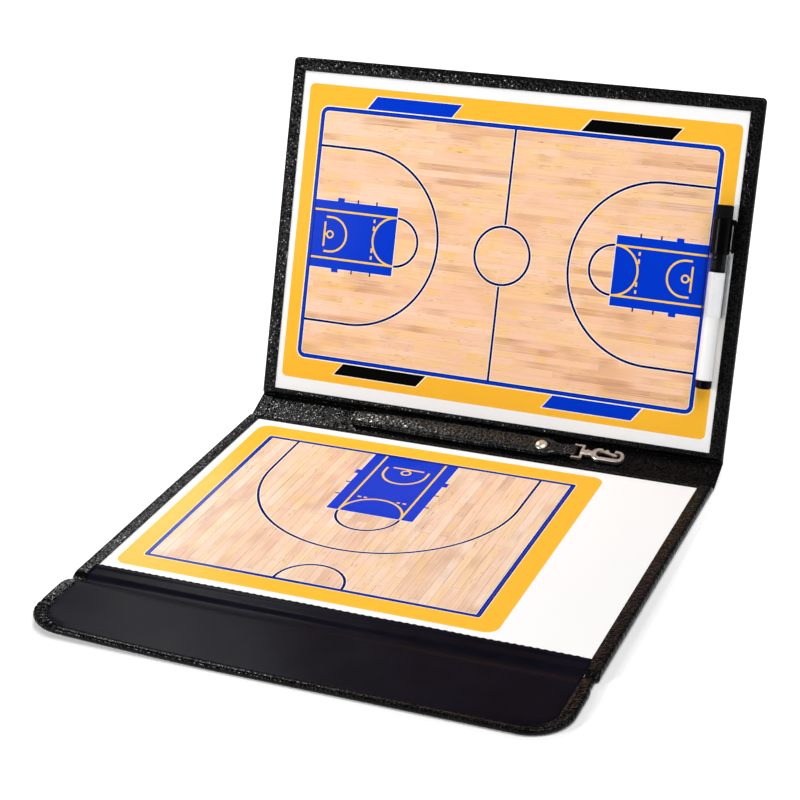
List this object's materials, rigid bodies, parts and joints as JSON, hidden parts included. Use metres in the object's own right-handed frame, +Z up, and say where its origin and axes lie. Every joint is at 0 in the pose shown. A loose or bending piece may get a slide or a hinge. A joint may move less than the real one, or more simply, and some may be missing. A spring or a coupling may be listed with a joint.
{
  "type": "folding tactics board",
  "caption": "Folding leather tactics board with printed court panels, a closing flap, a dry-erase marker in a clear sleeve and a wrist strap with a clasp.",
  "frame": {"origin": "middle of the base panel's underside, on the table, halfway between its two creases", "axes": "+X along the folds to the right as the user reads the board, +Y from the closing flap to the cover, +Z up from the table"},
  "size_m": [0.308, 0.377, 0.2169],
  "materials": {
    "grained_leather": "satin",
    "smooth_lining": "matte",
    "core_board": "matte",
    "steel_sheet": "satin",
    "court_sheet": "gloss",
    "clear_sleeve": "gloss",
    "foam_tape": "matte",
    "white_barrel": "satin",
    "black_plastic": "satin",
    "ink_fibre": "matte",
    "felt": "matte",
    "chrome": "polished",
    "rivet_metal": "satin",
    "magnet": "satin"
  },
  "bodies": {
    "base": {"base_outer_leather": "grained_leather", "base_core_board": "core_board", "base_steel_sheet": "steel_sheet", "base_court_sheet": "court_sheet", "base_rear_lining": "grained_leather", "base_front_lining": "smooth_lining"},
    "spine": {"spine_outer_leather": "grained_leather", "spine_lining": "grained_leather", "strap_anchor": "grained_leather"},
    "cover": {"cover_outer_leather": "grained_leather", "cover_core_board": "core_board", "cover_steel_sheet": "steel_sheet", "cover_court_sheet": "court_sheet", "cover_lower_lining": "grained_leather", "marker_sleeve": "clear_sleeve", "sleeve_adhesive_pad": "foam_tape"},
    "flap_root": {"flap_root_leather": "grained_leather", "flap_root_lining": "smooth_lining"},
    "flap_tip": {"flap_outer_leather": "grained_leather", "flap_lining": "smooth_lining", "flap_stiffener": "core_board", "flap_magnets": "magnet"},
    "marker": {"marker_barrel": "white_barrel", "marker_end_plug": "black_plastic", "marker_neck": "black_plastic", "marker_nib": "ink_fibre", "marker_ink_reservoir": "ink_fibre"},
    "marker_cap": {"marker_cap": "black_plastic", "marker_eraser": "felt"},
    "strap": {"wrist_strap": "grained_leather", "strap_rivet": "rivet_metal"},
    "clasp": {"clasp_body": "chrome", "clasp_gate_pin": "chrome"},
    "gate": {"clasp_gate": "chrome"}
  },
  "joints": [
    {"name": "spine_fold_lower", "type": "hinge", "parent": "base", "child": "spine", "pos_m": [0, 0.1125, 0.0009], "axis": [1, 0, 0], "range_deg": [-21.3, 68.7]},
    {"name": "spine_fold_upper", "type": "hinge", "parent": "spine", "child": "cover", "pos_m": [0, 0.13346, 0.00907], "axis": [1, 0, 0], "range_deg": [-49.5, 40.5]},
    {"name": "flap_root_fold", "type": "hinge", "parent": "base", "child": "flap_root", "pos_m": [0, -0.1125, 0.0009], "axis": [-1, 0, 0], "range_deg": [0, 90]},
    {"name": "flap_tip_fold", "type": "hinge", "parent": "flap_root", "child": "flap_tip", "pos_m": [0, -0.141, 0.0009], "axis": [-1, 0, 0], "range_deg": [0, 85]},
    {"name": "marker_slide", "type": "slide", "parent": "cover", "child": "marker", "axis": [0, -0.3289, -0.9444], "range_m": [-0.085, 0]},
    {"name": "cap_pull", "type": "slide", "parent": "marker", "child": "marker_cap", "axis": [0, -0.3289, -0.9444], "range_m": [-0.03, 0]},
    {"name": "strap_lift", "type": "hinge", "parent": "spine", "child": "strap", "pos_m": [-0.0689, 0.12189, 0.00778], "axis": [0, 0.9317, 0.3633], "range_deg": [-90, 0]},
    {"name": "clasp_turn", "type": "hinge", "parent": "strap", "child": "clasp", "pos_m": [0.0631, 0.12189, 0.00778], "axis": [0, 0.9317, 0.3633], "range_deg": [-130, 0]},
    {"name": "clasp_gate", "type": "hinge", "parent": "clasp", "child": "gate", "pos_m": [0.0797, 0.12497, 0.00898], "axis": [0, -0.3633, 0.9317], "range_deg": [-14, 0], "stiffness_Nm_per_rad": 0.002, "springref_deg": 17.19}
  ]
}
